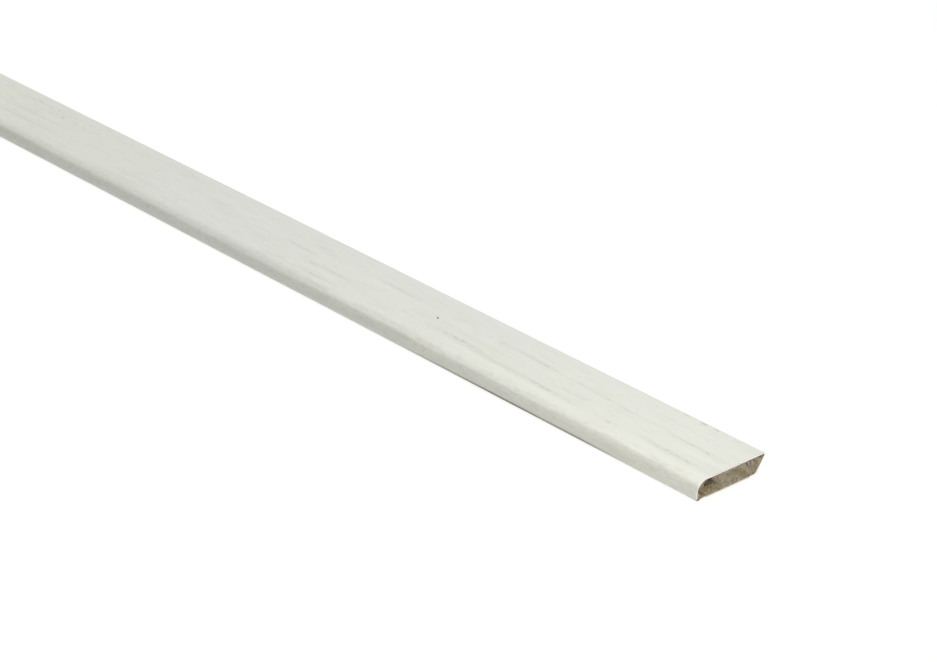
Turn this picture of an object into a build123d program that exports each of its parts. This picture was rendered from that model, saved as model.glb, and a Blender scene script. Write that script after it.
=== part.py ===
"""Self-adhesive skirting strip in its stock length, lying on its back as it is stored.

The strip covers the gap between a skirting and a floor. It has a planed softwood core with one rounded
edge and one undercut edge. A printed decor foil is wrapped round the front, the face and the undercut.
A double-sided tape with its release liner runs along the bare wood of the back.

All sizes are in millimetres. X runs along the length, Y runs across the face from the rounded front to
the sharp floor edge, and Z points up out of the face. The origin is under the middle of the strip, on
the surface that it lies on. Every piece is one section, drawn on the YZ plane and drawn out along X.
"""

import os
from math import cos, radians, sin, tan

from build123d import *

# Board, measured over the foil
length = 2400.0
board_width = 24.0
board_thickness = 5.0
shoulder_radius = 3.5
undercut_angle = 36.0

# Wooden core
toe_radius = 1.0
nose_land = 0.5
nose_radius = 0.15
heel_radius = 1.0

# Decor foil
foil_thickness = 0.3
foil_return = 2.2
foil_toe_radius = 0.5

# Tape and liner, centred on the bare wood of the back
tape_width = 15.0
tape_thickness = 0.25
liner_thickness = 0.1

# Levels, from the surface that the strip lies on
tape_level = liner_thickness
back_level = tape_level + tape_thickness
face_level = back_level + board_thickness
core_face_level = face_level - foil_thickness
nose_foot_level = core_face_level - nose_land

# Stations across the strip
front = -board_width / 2
floor_edge = board_width / 2
core_front = front + foil_thickness
core_nose = floor_edge - foil_thickness
undercut_slope = radians(undercut_angle)
heel = core_nose - (nose_foot_level - back_level) * tan(undercut_slope)

# The heel turns through what the undercut leaves of a right angle, so its round starts this far from
# the corner, on the undercut and on the back alike
heel_setback = heel_radius * tan((radians(90) - undercut_slope) / 2)
foil_return_end = front + foil_return
bare_back_end = heel - heel_setback
tape_middle = (foil_return_end + bare_back_end) / 2

# Corners of the core's section
toe_corner = (core_front, back_level)
shoulder_corner = (core_front, core_face_level)
nose_top_corner = (core_nose, core_face_level)
nose_foot_corner = (core_nose, nose_foot_level)
heel_corner = (heel, back_level)
wrapped_corners = [toe_corner, shoulder_corner, nose_top_corner, nose_foot_corner]
wrapped_radii = [toe_radius, shoulder_radius - foil_thickness, nose_radius, nose_radius]

# The foil starts on the back and is trimmed where the round of the heel begins
foil_start = (foil_return_end, back_level)
foil_trim = (heel + heel_setback * sin(undercut_slope), back_level + heel_setback * cos(undercut_slope))

# Outside of the foil. Its toe is sharper than the wood's, because glue fills the corner between them
foil_low_level = back_level - foil_thickness
foil_corners = [
    (foil_return_end, foil_low_level),
    (front, foil_low_level),
    (front, face_level),
    (floor_edge, face_level),
    (floor_edge, nose_foot_level - foil_thickness * tan(undercut_slope / 2)),
    (foil_trim[0] + foil_thickness * cos(undercut_slope), foil_trim[1] - foil_thickness * sin(undercut_slope)),
]
foil_nose_radius = nose_radius + foil_thickness
foil_radii = [foil_toe_radius, shoulder_radius, foil_nose_radius, foil_nose_radius]

# Core: planed strip, with its front edge rounded and its floor edge undercut
with BuildPart() as core:
    with BuildSketch(Plane.YZ):
        with BuildLine():
            FilletPolyline(*wrapped_corners, heel_corner, radius=[*wrapped_radii, heel_radius], close=True)
        make_face()
    extrude(amount=length / 2, both=True)

# Decor foil: the wall between the wrapped part of the core's outline and the foil's own outside
with BuildPart() as decor_foil:
    with BuildSketch(Plane.YZ):
        with BuildLine():
            glued_side = FilletPolyline(foil_start, *wrapped_corners, foil_trim, radius=wrapped_radii)
            printed_side = FilletPolyline(*foil_corners, radius=foil_radii)
            Line(glued_side @ 0, printed_side @ 0)
            Line(glued_side @ 1, printed_side @ 1)
        make_face()
    extrude(amount=length / 2, both=True)

# Adhesive tape: double-sided tape along the back, stopping at both cut ends
with BuildPart() as adhesive_tape:
    with BuildSketch(Plane.XY.offset(tape_level)):
        with Locations((0, tape_middle)):
            Rectangle(length, tape_width)
    extrude(amount=tape_thickness)

# Release liner: siliconised paper, slit together with the tape
with BuildPart() as release_liner:
    with BuildSketch(Plane.XY):
        with Locations((0, tape_middle)):
            Rectangle(length, tape_width)
    extrude(amount=liner_thickness)

core.part.label = "core"
decor_foil.part.label = "decor_foil"
adhesive_tape.part.label = "adhesive_tape"
release_liner.part.label = "release_liner"

os.makedirs("parts", exist_ok=True)
for piece in (core, decor_foil, adhesive_tape, release_liner):
    export_step(piece.part, f"parts/{piece.part.label}.step")
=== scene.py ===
"""Looks of a self-adhesive skirting strip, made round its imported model.

The strip lies on its liner with the printed face up. X runs along the length, with the sawn end of the
photograph at +X. Y runs across the face, from the rounded front to the sharp floor edge, and Z points
up. Lengths are in metres, and MM turns a size in millimetres into metres. Four pieces are made here, in
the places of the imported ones: the wooden core, the printed foil round it, the tape on its back and the
tape's release liner. Each is a section, given as a grid of points, that is carried along X.
"""

import logging
import math
from collections.abc import Sequence
from dataclasses import dataclass, field
from enum import Enum

import bpy
import numpy as np
from mathutils import Matrix, Vector


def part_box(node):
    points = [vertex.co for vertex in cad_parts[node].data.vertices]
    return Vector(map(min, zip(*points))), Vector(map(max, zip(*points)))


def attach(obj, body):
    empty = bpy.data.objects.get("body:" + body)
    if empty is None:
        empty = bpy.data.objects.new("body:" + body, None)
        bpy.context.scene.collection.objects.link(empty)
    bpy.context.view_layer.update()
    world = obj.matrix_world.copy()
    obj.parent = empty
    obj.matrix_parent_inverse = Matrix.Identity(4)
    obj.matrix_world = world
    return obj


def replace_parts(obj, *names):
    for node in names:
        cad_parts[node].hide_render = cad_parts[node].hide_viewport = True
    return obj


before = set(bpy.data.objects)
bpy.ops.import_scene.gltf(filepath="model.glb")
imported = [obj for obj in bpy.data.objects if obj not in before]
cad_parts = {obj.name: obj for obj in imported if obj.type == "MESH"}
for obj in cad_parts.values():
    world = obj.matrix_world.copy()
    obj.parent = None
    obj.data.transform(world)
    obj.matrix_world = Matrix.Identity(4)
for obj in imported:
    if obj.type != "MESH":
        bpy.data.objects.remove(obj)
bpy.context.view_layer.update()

LOG = logging.getLogger("skirting_strip")
MM = 0.001

# Most values of a noise texture lie between these two
NOISE_REACH = (0.3, 0.7)

# What a row of numbers says to a Map Range node
RANGE_INPUTS = ("Value", "From Min", "From Max", "To Min", "To Max")

Array = np.ndarray
Value = float | tuple[float, ...] | bpy.types.NodeSocket | bpy.types.Node


class CutEnd(Enum):
    """The two sawn ends of the strip, by the direction in which each faces along X."""

    FAR = -1
    NEAR = 1


class Paint(Enum):
    """The values that a piece's vertices carry for its material, each from 0 to 1.

    Attributes:
        SAWN: Where the saw left bare wood or paper.
        HOLLOW: Painted shade in the hollows and torn lines of a sawn end, the knot's among them.
        STAIN: Brown wood.
        OLIVE: Greener wood.
        ASH: Grey wood.
        GLUE: Dried glue, and pale fibres that catch the light.
        PORES: Where the print has pore marks.
        SHADE: Its darker grain, and painted shade along the shoulder's edge, beside and under crumbs, and
            along the shoulder further from the near end.
        CREAM: Its lighter grain, and painted highlights on crumbs, along the shoulder's edge and beside
            pores.
        COOL: Its cooler ground.
        FRONT: The band round the front, where the foil is lumpy and mottled.
        EDGE: Height above the shoulder's edge, with 0.5 on the edge itself.
        SOIL: A dark line along the toe: painted shadow under the toe, with dirt on the glue.
    """

    SAWN = "sawn"
    HOLLOW = "hollow_shade"
    STAIN = "stain"
    OLIVE = "olive"
    ASH = "ash"
    GLUE = "glue"
    PORES = "pores"
    SHADE = "shade"
    CREAM = "cream"
    COOL = "cool"
    FRONT = "front"
    EDGE = "edge"
    SOIL = "toe_shadow_and_dust"


CORE_PAINTS = (Paint.SAWN, Paint.HOLLOW, Paint.STAIN, Paint.OLIVE, Paint.ASH, Paint.GLUE)
FOIL_PAINTS = (
    Paint.PORES, Paint.SHADE, Paint.CREAM, Paint.COOL, Paint.FRONT, Paint.EDGE, Paint.SAWN, Paint.SOIL,
)


def linear(hex_colour: str) -> tuple[float, float, float, float]:
    """Turns an sRGB colour such as "#e4e5dc" into linear red, green, blue and an alpha of one.

    Each channel follows the sRGB curve: below 0.04045 it is divided by 12.92, and above it is
    ((value + 0.055) / 1.055) to the power of 2.4.

    Args:
        hex_colour: Six hexadecimal digits behind a hash sign.

    Returns:
        The colour as Blender's sockets take it.
    """
    channels = [int(hex_colour[i : i + 2], 16) / 255 for i in (1, 3, 5)]
    curved = [c / 12.92 if c <= 0.04045 else ((c + 0.055) / 1.055) ** 2.4 for c in channels]
    return (*curved, 1.0)


@dataclass(frozen=True)
class LatticeNoise:
    """Smooth random heights from -1 to 1 over a plane, longer in one direction than in the other.

    Each crossing of a lattice gets a random height. A point takes a blend of the four crossings round
    it, weighted by the smooth step 3t^2 - 2t^3 of its place between them.

    Attributes:
        seed: What the random heights are drawn from.
        length: Size of a lattice cell along the first coordinate, in metres.
        width: Size of a lattice cell along the second coordinate.
        crossings: How many crossings there are each way before the lattice repeats.
    """

    seed: int
    length: float
    width: float = 1.0
    crossings: int = 512

    def at(self, u: Array, v: Array | float = 0.0) -> Array:
        """Gives the height at each point.

        Args:
            u: First coordinates, in metres.
            v: Second coordinates, in a shape that goes with that of u, or one for all.

        Returns:
            The heights, in the shape that u and v make together.
        """
        table = np.random.default_rng(self.seed).uniform(-1.0, 1.0, (self.crossings, self.crossings))
        column, row = np.floor(u / self.length), np.floor(v / self.width)
        s, t = u / self.length - column, v / self.width - row
        s, t = s * s * (3 - 2 * s), t * t * (3 - 2 * t)
        i, j = column.astype(int) % self.crossings, row.astype(int) % self.crossings
        i_next, j_next = (i + 1) % self.crossings, (j + 1) % self.crossings
        near_row = table[i, j] * (1 - s) + table[i_next, j] * s
        next_row = table[i, j_next] * (1 - s) + table[i_next, j_next] * s
        return near_row * (1 - t) + next_row * t


def rounded(corners: Sequence[tuple[float, float]], radii: Sequence[float]) -> Array:
    """Makes an open outline from corners, each inner one rounded by an arc.

    An arc of radius r at a corner where the outline turns by t starts r * tan(t / 2) before the corner.
    Its centre lies r beside that start, on the side to which the outline turns, and its points are the
    start turned about the centre by equal shares of t.

    Args:
        corners: The corners in order, the two ends included.
        radii: One radius for each inner corner.

    Returns:
        The outline's points, one row each: the two ends, and as many on each arc as on any other.
    """
    arc_steps = 12
    points = np.array(corners, float)
    ways = np.diff(points, axis=0)
    ways /= np.linalg.norm(ways, axis=1, keepdims=True)
    stretches = [points[:1]]
    for corner, before, after, radius in zip(points[1:-1], ways[:-1], ways[1:], radii):
        turn = math.atan2(before[0] * after[1] - before[1] * after[0], before @ after)
        side = math.copysign(1.0, turn)
        start = corner - before * radius * math.tan(abs(turn) / 2)
        spoke = radius * side * np.array([before[1], -before[0]])
        angles = np.linspace(0, turn, arc_steps + 1)[:, None]
        turned = spoke * np.cos(angles) + np.array([-spoke[1], spoke[0]]) * np.sin(angles)
        stretches.append(start - spoke + turned)
    stretches.append(points[-1:])
    return np.vstack(stretches)


def subdivided(outlines: Array, step: float) -> Array:
    """Adds evenly spaced points to outlines that run side by side, to the same spans of each.

    Args:
        outlines: The outlines as (outline, point, y or z).
        step: The longest distance that may stay between two neighbours.

    Returns:
        The outlines with their new points, in the same form.
    """
    spans = np.diff(outlines, axis=1)
    longest = np.linalg.norm(spans, axis=2).max(axis=0)
    counts = np.maximum(1, np.ceil(longest / step - 1e-9)).astype(int)
    starts = np.repeat(outlines[:, :-1], counts, axis=1)
    moves = np.repeat(spans / counts[:, None], counts, axis=1)
    order = np.arange(counts.sum()) - np.repeat(np.cumsum(counts) - counts, counts)
    return np.concatenate([starts + moves * order[:, None], outlines[:, -1:]], axis=1)


@dataclass
class CarriedSection:
    """A section that is carried along X and closed at both ends, as one watertight mesh.

    The section is a grid of points in the YZ plane. Only its border is carried along, as a ring of
    vertices at each station, and the whole grid closes each end.

    Attributes:
        section: Places of the grid's points as (row, column, y or z). Columns cross rows
            anticlockwise, seen from +X.
        stations: Places along X, from the far end to the near one.
        grid: Numbers of the far end's vertices, as (row, column).
        row: Row of each vertex in the section.
        column: Its column there.
        station: Number of its station.
        rings: The vertices round the border, as (station, place along the border).
    """

    section: Array
    stations: Array
    grid: Array = field(init=False)
    row: Array = field(init=False)
    column: Array = field(init=False)
    station: Array = field(init=False)
    rings: Array = field(init=False)

    def __post_init__(self) -> None:
        """Works out the row, column and station of each vertex: both ends' grids, then the rings."""
        rows, columns = self.section.shape[:2]
        grid_row, grid_column = (a.ravel() for a in np.mgrid[0:rows, 0:columns])
        grid = np.arange(rows * columns).reshape(rows, columns)
        border = np.concatenate([grid[0, :-1], grid[:-1, -1], grid[-1, :0:-1], grid[:0:-1, 0]])
        inner = len(self.stations) - 2
        self.grid = grid
        self.row = np.concatenate([grid_row, grid_row, np.tile(grid_row[border], inner)])
        self.column = np.concatenate([grid_column, grid_column, np.tile(grid_column[border], inner)])
        station = np.repeat(np.arange(1, inner + 1), len(border))
        self.station = np.concatenate([np.zeros(grid.size, int), np.full(grid.size, inner + 1), station])
        carried = 2 * grid.size + np.arange(inner * len(border)).reshape(inner, -1)
        self.rings = np.vstack([border, carried, border + grid.size])

    def points(self) -> Array:
        """Gives each vertex's place, before anything is pressed into the surface."""
        return np.column_stack([self.stations[self.station], self.section[self.row, self.column]])

    def quads(self) -> Array:
        """Makes the faces, which all face outwards.

        Returns:
            Their corners as (n, 4): the carried sides, then the far end and the near one.
        """
        following = np.roll(self.rings, -1, axis=1)
        sides = np.stack([self.rings[:-1], following[:-1], following[1:], self.rings[1:]], axis=-1)
        grid = self.grid
        corners = (grid[:-1, :-1], grid[:-1, 1:], grid[1:, 1:], grid[1:, :-1])
        cells = np.stack(corners, axis=-1).reshape(-1, 4)
        return np.vstack([sides.reshape(-1, 4), cells[:, ::-1], cells + grid.size])

    def at_end(self, end: CutEnd) -> Array:
        """Tells which vertices lie on a cut end."""
        return self.station == (len(self.stations) - 1 if end is CutEnd.NEAR else 0)

    def depth(self, end: CutEnd) -> Array:
        """Gives each vertex's distance from a cut end, along X."""
        return np.abs(self.stations[self.station] - self.stations[-1 if end is CutEnd.NEAR else 0])


def spaced_stations(
    low: float, high: float, step: float, near: tuple[float, float] | None = None
) -> Array:
    """Places stations along X at an even step, with closer ones behind each cut end.

    Args:
        low: Place of the far end.
        high: Place of the near end.
        step: Distance between two stations away from the ends.
        near: Length behind the near end that has a step of its own, and that step.

    Returns:
        The stations in order, with low and high among them.
    """
    # Distances of the closer stations from their cut end
    behind_end = np.array([0.12, 0.3, 0.6, 1.0, 1.6, 2.5]) * MM
    length, near_step = near or (step, step)
    start = high - length
    plain = np.linspace(low + step, start, round((start - low) / step))
    fine = np.linspace(start, high - near_step, round(length / near_step))[1:]
    return np.concatenate([[low], low + behind_end, plain, fine, high - behind_end[::-1], [high]])


def add_node(
    tree: bpy.types.NodeTree, kind: str, inputs: dict[str | int, Value] | None = None, **settings: object
) -> bpy.types.Node:
    """Adds one node to a tree, with its settings, its values and its links.

    Args:
        tree: The material's or the world's node tree.
        kind: The node's type name, without the leading ShaderNode.
        inputs: What goes into each input, by the input's name or number: a value, an output socket, or
            a node, whose first output in use is then taken.
        **settings: The node's own properties.

    Returns:
        The new node.
    """
    node = tree.nodes.new("ShaderNode" + kind)
    for name, setting in settings.items():
        setattr(node, name, setting)
    names = [s.name if s.enabled else "" for s in node.inputs]
    for key, value in (inputs or {}).items():
        socket = node.inputs[key if isinstance(key, int) else names.index(key)]
        if isinstance(value, bpy.types.Node):
            value = next(s for s in value.outputs if s.enabled)
        if isinstance(value, bpy.types.NodeSocket):
            tree.links.new(value, socket)
        else:
            socket.default_value = value
    return node


def new_material(name: str) -> tuple[bpy.types.Material, bpy.types.NodeTree]:
    """Makes an empty node material.

    Args:
        name: The material's name.

    Returns:
        The material, and its node tree.
    """
    material = bpy.data.materials.new(name)
    material.use_nodes = True
    material.node_tree.nodes.clear()
    return material, material.node_tree


@dataclass(frozen=True)
class WhitewashedFoil:
    """Decor paper, printed as whitewashed oak, lacquered and lightly embossed.

    The print gives a cream ground with faint grey streaks, and rows of short pore marks that follow the
    grain, with painted highlights and painted shade among its marks. The lacquer gives a satin sheen. The
    paper's own white core shows where it was sawn, and a dark line of painted shadow lies along the toe,
    with dirt on the glue there.

    Attributes:
        ground: Cream ground of the print.
        cool: Cooler ground, in patches and towards the floor edge.
        light: The brightest bands of the ground, and the painted highlights.
        streak_and_shade_colour: The faint grey streaks, the darker grain and the painted shade among it.
        pore_colour: The short pore marks.
        paper_colour: The bare cut edge.
        toe_shadow_and_dust_colour: The dark line along the toe: painted shadow under the toe, with dirt
            on the glue.
        speck_colour: One spot of dirt on the face.
        patch: Length and width of a patch of ground colour, in metres.
        streak: Length and width of a streak.
        hairline: Length and width of the finest lines between the streaks. Finer ones would be less
            than a pixel wide in the render.
        pore: Length and width of the ground that one pore mark has to itself, of which it takes about
            half each way. A real pore of oak is hardly a pixel wide, so the marks are drawn wider.
        crumb: Length and width of the small lumps of the wood under the foil, round the front.
        waver: Length and width over which the printed grain wavers.
        waver_size: How far it does.
        speck_place: Place of the spot of dirt.
        speck_size: Half its length, width and height.
        speck_turn: Angle of its length from the X direction, in degrees.
        roughness: Roughness of the lacquer.
        toe_line_roughness: How much rougher the lacquer is along the toe's line of painted shadow and
            dirt.
        emboss: Depth of the pores in the surface.
        crumb_height: Height of the small lumps.
        crest_height: Height of the ragged crest along the shoulder's edge.
        crest_widths: Widths of its two slopes, the lower one first.
        crest_waver: How far it strays from the edge.
        edge_reach: Distance from the shoulder's edge at which the foil's value for it is 0 or 1.
    """

    ground: str = "#e2e3d8"
    cool: str = "#dee1dd"
    light: str = "#e7e8df"
    streak_and_shade_colour: str = "#d1d3c9"
    pore_colour: str = "#c3c5bb"
    paper_colour: str = "#fffaf3"
    toe_shadow_and_dust_colour: str = "#6e6d5f"
    speck_colour: str = "#4a463c"
    patch: tuple[float, float] = (16 * MM, 7 * MM)
    streak: tuple[float, float] = (11 * MM, 1.0 * MM)
    hairline: tuple[float, float] = (6 * MM, 0.36 * MM)
    pore: tuple[float, float] = (3.6 * MM, 0.8 * MM)
    crumb: tuple[float, float] = (2.6 * MM, 0.55 * MM)
    waver: tuple[float, float] = (5 * MM, 1.8 * MM)
    waver_size: float = 0.42 * MM
    speck_place: tuple[float, float, float] = (1088 * MM, 0.3 * MM, 5.35 * MM)
    speck_size: tuple[float, float, float] = (0.9 * MM, 0.36 * MM, 1.0 * MM)
    speck_turn: float = -36.0
    roughness: float = 0.6
    toe_line_roughness: float = 0.5
    emboss: float = 0.015 * MM
    crumb_height: float = 0.06 * MM
    crest_height: float = 0.06 * MM
    crest_widths: tuple[float, float] = (2.0 * MM, 0.8 * MM)
    crest_waver: float = 0.32 * MM
    edge_reach: float = 4 * MM

    def material(self) -> bpy.types.Material:
        """Builds the material. The print lies on the foil's own map, whose rows follow the grain.

        Returns:
            The finished material.
        """
        material, tree = new_material("lacquered_decor_foil")
        painted = {
            paint: add_node(tree, "Attribute", attribute_name=paint.value).outputs["Fac"]
            for paint in FOIL_PAINTS
        }

        # The grain wavers: a noise moves the print's map to the side
        straight_map = add_node(tree, "UVMap", uv_map="print")
        waver_scale = (1 / self.waver[0], 1 / self.waver[1], 1.0)
        waver_map = add_node(tree, "Mapping", {"Vector": straight_map, "Scale": waver_scale})
        wavers = add_node(
            tree, "TexNoise", {"Vector": waver_map, "Scale": 1.0, "Detail": 1.0}, noise_dimensions="2D"
        )
        reach = (wavers, *NOISE_REACH, -self.waver_size, self.waver_size)
        sideways = add_node(tree, "MapRange", dict(zip(RANGE_INPUTS, reach)))
        aside = add_node(tree, "CombineXYZ", {"Y": sideways})
        print_map = add_node(tree, "VectorMath", {0: straight_map, 1: aside}, operation="ADD")

        # Each pattern has the print's map to itself, scaled by its own length and width
        sizes = (self.crumb, self.streak, self.hairline, self.patch, self.pore)
        *noise_maps, pore_map = (
            add_node(tree, "Mapping", {"Vector": print_map, "Scale": (1 / length, 1 / width, 1.0)})
            for length, width in sizes
        )
        lumps, streaks, hairlines, patches = (
            add_node(
                tree,
                "TexNoise",
                {"Vector": noise_map, "Scale": 1.0, "Detail": detail, "Roughness": 0.5},
                noise_dimensions="2D",
            )
            for noise_map, detail in zip(noise_maps, (2.0, 1.5, 1.0, 1.0))
        )
        cells = add_node(tree, "TexVoronoi", {"Vector": pore_map, "Scale": 1.0}, voronoi_dimensions="2D")
        lots = add_node(tree, "SeparateColor", {"Color": cells.outputs["Color"]})

        speck_map = add_node(
            tree,
            "Mapping",
            {
                "Vector": add_node(tree, "TexCoord").outputs["Object"],
                "Location": self.speck_place,
                "Rotation": (0.0, 0.0, math.radians(self.speck_turn)),
                "Scale": self.speck_size,
            },
            vector_type="TEXTURE",
        )
        spot = add_node(tree, "TexGradient", {"Vector": speck_map}, gradient_type="SPHERICAL")

        # Each row carries a value from the first two numbers to the last two, smoothly and no further
        ramps = (
            (cells.outputs["Distance"], 0.12, 0.5, 1.0, 0.0),
            (lots, 0.0, 0.6, 0.0, 1.0),
            (patches, *NOISE_REACH, 0.0, 0.25),
            (streaks, 0.46, 0.8, 0.0, 0.26),
            (hairlines, 0.5, 0.85, 0.0, 0.07),
            (lumps, 0.48, 0.7, 0.0, 0.55),
            (spot, 0.1, 0.6, 0.0, 1.0),
            (streaks, 0.3, 0.8, self.roughness - 0.04, self.roughness + 0.1),
        )
        dashes, drawn, cooled, streaked, lined, lumpy, specked, dull = (
            add_node(tree, "MapRange", dict(zip(RANGE_INPUTS, row)), interpolation_type="SMOOTHSTEP")
            for row in ramps
        )
        drawn_dashes = add_node(tree, "Math", {0: dashes, 1: drawn}, operation="MULTIPLY")
        pores = add_node(tree, "Math", {0: drawn_dashes, 1: painted[Paint.PORES]}, operation="MULTIPLY")
        mottled = add_node(tree, "Math", {0: lumpy, 1: painted[Paint.FRONT]}, operation="MULTIPLY")

        # Each colour lies over the ones before it as far as its factor says. The lighter and darker grain
        # marks carry painted highlights and painted shade too, and the last is the toe's painted shadow,
        # with dirt
        colour = linear(self.ground)
        for factor, over in (
            (cooled, self.cool),
            (painted[Paint.COOL], self.cool),
            (painted[Paint.CREAM], self.light),
            (streaked, self.streak_and_shade_colour),
            (lined, self.streak_and_shade_colour),
            (painted[Paint.SHADE], self.streak_and_shade_colour),
            (mottled, self.streak_and_shade_colour),
            (pores, self.pore_colour),
            (specked, self.speck_colour),
            (painted[Paint.SAWN], self.paper_colour),
            (painted[Paint.SOIL], self.toe_shadow_and_dust_colour),
        ):
            colour = add_node(
                tree, "Mix", {"Factor": factor, "A": colour, "B": linear(over)}, data_type="RGBA"
            )

        # The foil carries how far it lies above the shoulder's edge. The crest strays from it by the
        # lumps, and is the lower of two slopes that meet there
        levels = (
            (painted[Paint.EDGE], 0.0, 1.0, -self.edge_reach, self.edge_reach),
            (lumps, *NOISE_REACH, -self.crest_waver, self.crest_waver),
        )
        from_edge, stray = (add_node(tree, "MapRange", dict(zip(RANGE_INPUTS, row))) for row in levels)
        above_edge = add_node(tree, "Math", {0: from_edge, 1: stray}, operation="ADD")
        slopes = (
            (above_edge, -self.crest_widths[0], 0.0, 0.0, self.crest_height),
            (above_edge, self.crest_widths[1], 0.0, 0.0, self.crest_height),
        )
        low_side, high_side = (add_node(tree, "MapRange", dict(zip(RANGE_INPUTS, row))) for row in slopes)
        crest = add_node(tree, "Math", {0: low_side, 1: high_side}, operation="MINIMUM")
        crumbs = add_node(tree, "Math", {0: lumps, 1: painted[Paint.FRONT]}, operation="MULTIPLY")
        height = crest
        for relief, size in ((crumbs, self.crumb_height), (pores, -self.emboss)):
            height = add_node(tree, "Math", {0: relief, 1: size, 2: height}, operation="MULTIPLY_ADD")

        bump = add_node(tree, "Bump", {"Height": height, "Distance": 1.0, "Strength": 1.0})
        # The lacquer is rougher along the toe's line of painted shadow and dirt
        toe_line_inputs = {0: painted[Paint.SOIL], 1: self.toe_line_roughness, 2: dull}
        rough = add_node(tree, "Math", toe_line_inputs, operation="MULTIPLY_ADD")
        shader = add_node(
            tree, "BsdfPrincipled", {"Base Color": colour, "Roughness": rough, "IOR": 1.5, "Normal": bump}
        )
        add_node(tree, "OutputMaterial", {"Surface": shader})
        return material


@dataclass(frozen=True)
class SawnSoftwood:
    """Softwood, planed along the back and sawn across at the ends.

    The growth rings are cylinders round a pith beside the strip, so they show as bands across the sawn
    end and as lines along the planed back. Sawn ends are darker, because the open fibres take the light
    in.

    Attributes:
        planed: Pale wood between the rings, along the back.
        planed_ring: The darker summer wood along the back.
        sawn: The same wood across a cut end.
        sawn_ring: The summer wood across a cut end.
        hollow_shade: Painted shade at the bottom of the hollows and torn lines.
        stain: Brown wood beside a knot.
        olive: Greener wood, where the resin lies.
        ash: Grey wood at the thin floor edge.
        glue: Dried glue that the saw smeared from the foil's joint, and painted highlights on torn fibres
            and beside holes.
        pith: Place of the pith in the section, in metres.
        pith_slant: Angle of the pith from the strip's length, in degrees.
        ring: Distance between two growth rings.
        ring_stretch: How many times as slowly the rings change along the strip as across it.
        fibre: Length and thickness of a bundle of fibres. A single fibre is a few hundredths of a
            millimetre thick, which is too fine to show, so only bundles are drawn.
        blotch: Length, width and height of a lighter or darker patch of the wood.
    """

    planed: str = "#d8c29a"
    planed_ring: str = "#b78f5c"
    sawn: str = "#a59b86"
    sawn_ring: str = "#9d9277"
    hollow_shade: str = "#2c241d"
    stain: str = "#7c642d"
    olive: str = "#7d754d"
    ash: str = "#696a63"
    glue: str = "#b3a699"
    pith: tuple[float, float] = (-42 * MM, 16 * MM)
    pith_slant: float = 0.25
    ring: float = 3.4 * MM
    ring_stretch: float = 60.0
    fibre: tuple[float, float] = (14 * MM, 0.4 * MM)
    blotch: tuple[float, float, float] = (40 * MM, 1.7 * MM, 1.1 * MM)

    def material(self) -> bpy.types.Material:
        """Builds the material, which is solid: it reads Object coordinates all through the piece.

        Returns:
            The finished material.
        """
        material, tree = new_material("sawn_softwood")
        painted = {
            paint: add_node(tree, "Attribute", attribute_name=paint.value).outputs["Fac"]
            for paint in CORE_PAINTS
        }
        place = add_node(tree, "TexCoord").outputs["Object"]

        # A ring texture repeats every 2 pi / 20 of its own units
        unit = self.ring / (2 * math.pi / 20)
        ring_map = add_node(
            tree,
            "Mapping",
            {
                "Vector": place,
                "Location": (0.0, *self.pith),
                "Rotation": (0.0, 0.0, math.radians(self.pith_slant)),
                "Scale": (self.ring_stretch * unit, unit, unit),
            },
            vector_type="TEXTURE",
        )
        rings = add_node(
            tree,
            "TexWave",
            {"Vector": ring_map, "Scale": 1.0, "Distortion": 5.0, "Detail": 2.0, "Detail Scale": 0.5},
            wave_type="RINGS",
            rings_direction="X",
            wave_profile="SAW",
        )
        summer = add_node(
            tree,
            "MapRange",
            {"Value": rings.outputs["Fac"], "From Min": 0.45, "From Max": 1.0},
            interpolation_type="SMOOTHSTEP",
        )
        fibre_map = add_node(
            tree,
            "Mapping",
            {"Vector": place, "Scale": (*self.fibre, self.fibre[1])},
            vector_type="TEXTURE",
        )
        fibres = add_node(
            tree, "TexNoise", {"Vector": fibre_map, "Scale": 1.0, "Detail": 3.0, "Roughness": 0.6}
        )
        blotch_map = add_node(
            tree, "Mapping", {"Vector": place, "Scale": self.blotch}, vector_type="TEXTURE"
        )
        blotches = add_node(tree, "TexNoise", {"Vector": blotch_map, "Scale": 1.0, "Detail": 2.0})

        planed, sawn = (
            add_node(
                tree, "Mix", {"Factor": summer, "A": linear(pale), "B": linear(dark)}, data_type="RGBA"
            )
            for pale, dark in ((self.planed, self.planed_ring), (self.sawn, self.sawn_ring))
        )
        wood = add_node(
            tree, "Mix", {"Factor": painted[Paint.SAWN], "A": planed, "B": sawn}, data_type="RGBA"
        )
        shades = ((fibres, *NOISE_REACH, 0.74, 1.22), (blotches, *NOISE_REACH, 0.76, 1.2))
        fibre_shade, blotch_shade = (
            add_node(tree, "MapRange", dict(zip(RANGE_INPUTS, row))) for row in shades
        )
        shade = add_node(tree, "Math", {0: fibre_shade, 1: blotch_shade}, operation="MULTIPLY")

        # Each tint lies over the ones before it as far as its paint says. The last is painted shade in
        # the hollows and torn lines, and the glue's tint also paints highlights on some torn fibres
        colour = add_node(tree, "VectorMath", {0: wood, "Scale": shade}, operation="SCALE")
        for paint, tint in (
            (Paint.STAIN, self.stain),
            (Paint.OLIVE, self.olive),
            (Paint.ASH, self.ash),
            (Paint.GLUE, self.glue),
            (Paint.HOLLOW, self.hollow_shade),
        ):
            colour = add_node(
                tree, "Mix", {"Factor": painted[paint], "A": colour, "B": linear(tint)}, data_type="RGBA"
            )
        bump = add_node(tree, "Bump", {"Height": fibres, "Distance": 0.05 * MM, "Strength": 0.6})
        shader = add_node(
            tree,
            "BsdfPrincipled",
            {
                "Base Color": colour,
                "Roughness": 0.85,
                "IOR": 1.5,
                "Specular IOR Level": 0.25,
                "Normal": bump,
            },
        )
        add_node(tree, "OutputMaterial", {"Surface": shader})
        return material


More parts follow.
